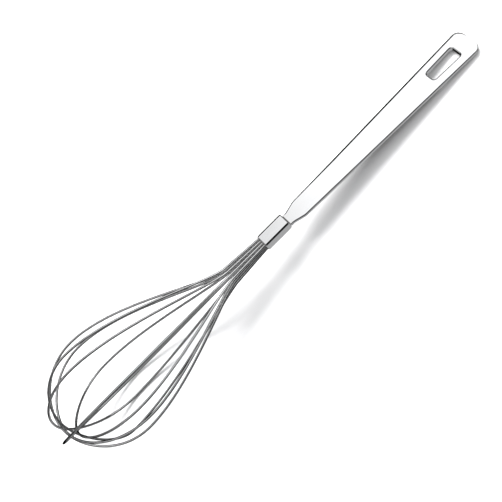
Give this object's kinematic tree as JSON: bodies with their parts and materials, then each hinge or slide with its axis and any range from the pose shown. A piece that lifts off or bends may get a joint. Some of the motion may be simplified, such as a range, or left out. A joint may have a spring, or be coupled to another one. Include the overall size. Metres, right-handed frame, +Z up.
{
  "type": "balloon whisk",
  "caption": "Stainless steel balloon whisk: rounded wire loops held by a square collar on a flat tapered handle with a hang slot.",
  "frame": {"origin": "on the surface it lies on, under the middle of its bounding box", "axes": "+X along the whisk from the balloon towards the handle's end, +Y across the handle, +Z up, with the handle's flat upper face looking up"},
  "size_m": [0.2976, 0.063, 0.0636],
  "materials": {
    "handle_steel": "polished stainless steel with very fine lengthwise polishing lines",
    "collar_steel": "polished stainless steel",
    "wire_steel": "bright drawn stainless wire",
    "braze_metal": "dull braze metal"
  },
  "bodies": {
    "root": {"handle": "handle_steel", "collar": "collar_steel", "braze_fill": "braze_metal", "wire_loop_1": "wire_steel", "wire_loop_2": "wire_steel", "wire_loop_3": "wire_steel", "wire_loop_4": "wire_steel", "wire_loop_5": "wire_steel", "wire_loop_6": "wire_steel"}
  },
  "joints": []
}
